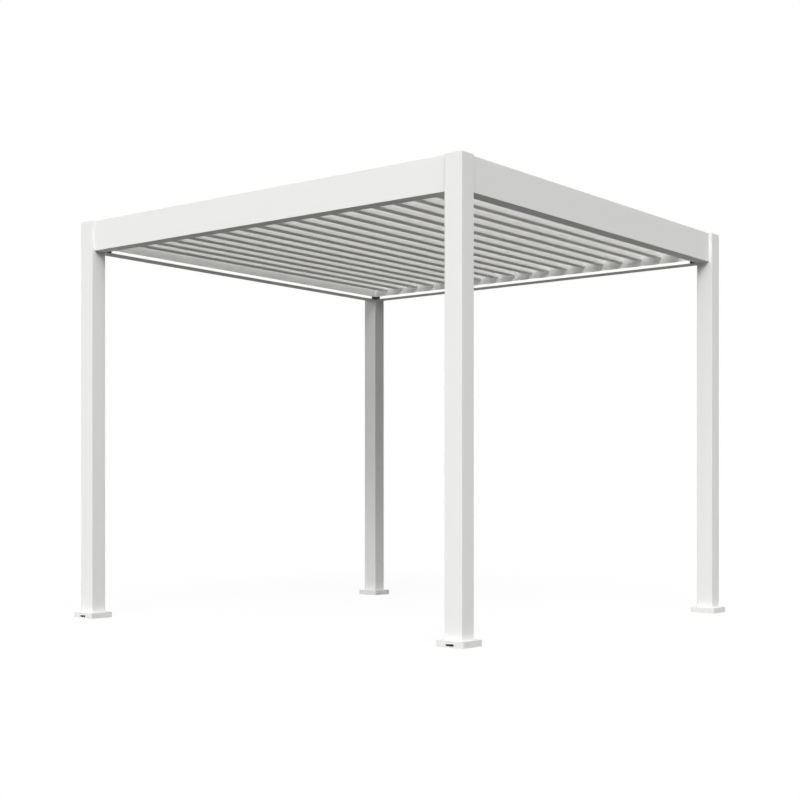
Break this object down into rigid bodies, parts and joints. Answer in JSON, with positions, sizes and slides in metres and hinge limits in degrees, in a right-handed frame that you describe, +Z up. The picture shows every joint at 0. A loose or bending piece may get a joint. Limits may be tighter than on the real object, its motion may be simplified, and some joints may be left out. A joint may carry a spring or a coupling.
{
  "type": "motorized louvre pergola",
  "caption": "Free-standing square pergola of white aluminium posts and gutter beams, with tilting motor-driven roof slats and light strips round the inside.",
  "frame": {"origin": "plan centre of the four posts, on the ground", "axes": "+X along the roof slats, +Y across them towards the back, +Z up"},
  "size_m": [3.06, 3.06, 2.5608],
  "materials": {
    "white_coat": "fine-textured white powder coat",
    "white_slat": "white powder coat",
    "light_diffuser": "opal diffuser, lit",
    "black_plastic": "moulded, satin",
    "rail": "mill finish",
    "steel": "galvanised",
    "motor_housing": "dark powder coat"
  },
  "bodies": {
    "frame": {"post_front_left": "white_coat", "post_front_right": "white_coat", "post_back_left": "white_coat", "post_back_right": "white_coat", "post_cap_front_left": "white_coat", "post_cap_front_right": "white_coat", "post_cap_back_left": "white_coat", "post_cap_back_right": "white_coat", "foot_cover_front_left": "white_coat", "foot_cover_front_right": "white_coat", "foot_cover_back_left": "white_coat", "foot_cover_back_right": "white_coat", "beam_front": "white_coat", "beam_back": "white_coat", "beam_left": "white_coat", "beam_right": "white_coat", "light_strip_front": "light_diffuser", "light_strip_back": "light_diffuser", "light_strip_left": "light_diffuser", "light_strip_right": "light_diffuser", "base_plates": "steel", "light_connectors": "black_plastic", "bearing_rail_left": "rail", "bearing_rail_right": "rail", "drive_motor": "motor_housing"},
    "slat_01": {"slat_01": "white_slat"},
    "slat_02": {"slat_02": "white_slat"},
    "slat_03": {"slat_03": "white_slat"},
    "slat_04": {"slat_04": "white_slat"},
    "slat_05": {"slat_05": "white_slat"},
    "slat_06": {"slat_06": "white_slat"},
    "slat_07": {"slat_07": "white_slat"},
    "slat_08": {"slat_08": "white_slat"},
    "slat_09": {"slat_09": "white_slat"},
    "slat_10": {"slat_10": "white_slat"},
    "slat_11": {"slat_11": "white_slat"},
    "slat_12": {"slat_12": "white_slat"},
    "slat_13": {"slat_13": "white_slat"},
    "slat_14": {"slat_14": "white_slat"},
    "slat_15": {"slat_15": "white_slat"},
    "slat_16": {"slat_16": "white_slat"},
    "slat_17": {"slat_17": "white_slat"},
    "slat_18": {"slat_18": "white_slat"},
    "drive_bar": {"drive_bar": "rail"}
  },
  "joints": [
    {"name": "slat_01_tilt", "type": "hinge", "parent": "frame", "child": "slat_01", "pos_m": [0, -1.27075, 2.482], "axis": [1, 0, 0], "range_deg": [-90, 0]},
    {"name": "slat_02_tilt", "type": "hinge", "parent": "frame", "child": "slat_02", "pos_m": [0, -1.12125, 2.482], "axis": [1, 0, 0], "range_deg": [-90, 0]},
    {"name": "slat_03_tilt", "type": "hinge", "parent": "frame", "child": "slat_03", "pos_m": [0, -0.97175, 2.482], "axis": [1, 0, 0], "range_deg": [-90, 0]},
    {"name": "slat_04_tilt", "type": "hinge", "parent": "frame", "child": "slat_04", "pos_m": [0, -0.82225, 2.482], "axis": [1, 0, 0], "range_deg": [-90, 0]},
    {"name": "slat_05_tilt", "type": "hinge", "parent": "frame", "child": "slat_05", "pos_m": [0, -0.67275, 2.482], "axis": [1, 0, 0], "range_deg": [-90, 0]},
    {"name": "slat_06_tilt", "type": "hinge", "parent": "frame", "child": "slat_06", "pos_m": [0, -0.52325, 2.482], "axis": [1, 0, 0], "range_deg": [-90, 0]},
    {"name": "slat_07_tilt", "type": "hinge", "parent": "frame", "child": "slat_07", "pos_m": [0, -0.37375, 2.482], "axis": [1, 0, 0], "range_deg": [-90, 0]},
    {"name": "slat_08_tilt", "type": "hinge", "parent": "frame", "child": "slat_08", "pos_m": [0, -0.22425, 2.482], "axis": [1, 0, 0], "range_deg": [-90, 0]},
    {"name": "slat_09_tilt", "type": "hinge", "parent": "frame", "child": "slat_09", "pos_m": [0, -0.07475, 2.482], "axis": [1, 0, 0], "range_deg": [-90, 0]},
    {"name": "slat_10_tilt", "type": "hinge", "parent": "frame", "child": "slat_10", "pos_m": [0, 0.07475, 2.482], "axis": [1, 0, 0], "range_deg": [-90, 0]},
    {"name": "slat_11_tilt", "type": "hinge", "parent": "frame", "child": "slat_11", "pos_m": [0, 0.22425, 2.482], "axis": [1, 0, 0], "range_deg": [-90, 0]},
    {"name": "slat_12_tilt", "type": "hinge", "parent": "frame", "child": "slat_12", "pos_m": [0, 0.37375, 2.482], "axis": [1, 0, 0], "range_deg": [-90, 0]},
    {"name": "slat_13_tilt", "type": "hinge", "parent": "frame", "child": "slat_13", "pos_m": [0, 0.52325, 2.482], "axis": [1, 0, 0], "range_deg": [-90, 0]},
    {"name": "slat_14_tilt", "type": "hinge", "parent": "frame", "child": "slat_14", "pos_m": [0, 0.67275, 2.482], "axis": [1, 0, 0], "range_deg": [-90, 0]},
    {"name": "slat_15_tilt", "type": "hinge", "parent": "frame", "child": "slat_15", "pos_m": [0, 0.82225, 2.482], "axis": [1, 0, 0], "range_deg": [-90, 0]},
    {"name": "slat_16_tilt", "type": "hinge", "parent": "frame", "child": "slat_16", "pos_m": [0, 0.97175, 2.482], "axis": [1, 0, 0], "range_deg": [-90, 0]},
    {"name": "slat_17_tilt", "type": "hinge", "parent": "frame", "child": "slat_17", "pos_m": [0, 1.12125, 2.482], "axis": [1, 0, 0], "range_deg": [-90, 0]},
    {"name": "slat_18_tilt", "type": "hinge", "parent": "frame", "child": "slat_18", "pos_m": [0, 1.27075, 2.482], "axis": [1, 0, 0], "range_deg": [-90, 0]},
    {"name": "drive_bar_swing", "type": "hinge", "parent": "slat_01", "child": "drive_bar", "pos_m": [-1.4195, -1.23893, 2.45018], "axis": [1, 0, 0], "range_deg": [0, 90]}
  ],
  "couplings": [
    {"joint": "slat_02_tilt", "follows": "slat_01_tilt", "ratio": 1},
    {"joint": "slat_03_tilt", "follows": "slat_01_tilt", "ratio": 1},
    {"joint": "slat_04_tilt", "follows": "slat_01_tilt", "ratio": 1},
    {"joint": "slat_05_tilt", "follows": "slat_01_tilt", "ratio": 1},
    {"joint": "slat_06_tilt", "follows": "slat_01_tilt", "ratio": 1},
    {"joint": "slat_07_tilt", "follows": "slat_01_tilt", "ratio": 1},
    {"joint": "slat_08_tilt", "follows": "slat_01_tilt", "ratio": 1},
    {"joint": "slat_09_tilt", "follows": "slat_01_tilt", "ratio": 1},
    {"joint": "slat_10_tilt", "follows": "slat_01_tilt", "ratio": 1},
    {"joint": "slat_11_tilt", "follows": "slat_01_tilt", "ratio": 1},
    {"joint": "slat_12_tilt", "follows": "slat_01_tilt", "ratio": 1},
    {"joint": "slat_13_tilt", "follows": "slat_01_tilt", "ratio": 1},
    {"joint": "slat_14_tilt", "follows": "slat_01_tilt", "ratio": 1},
    {"joint": "slat_15_tilt", "follows": "slat_01_tilt", "ratio": 1},
    {"joint": "slat_16_tilt", "follows": "slat_01_tilt", "ratio": 1},
    {"joint": "slat_17_tilt", "follows": "slat_01_tilt", "ratio": 1},
    {"joint": "slat_18_tilt", "follows": "slat_01_tilt", "ratio": 1},
    {"joint": "drive_bar_swing", "follows": "slat_01_tilt", "ratio": -1}
  ]
}
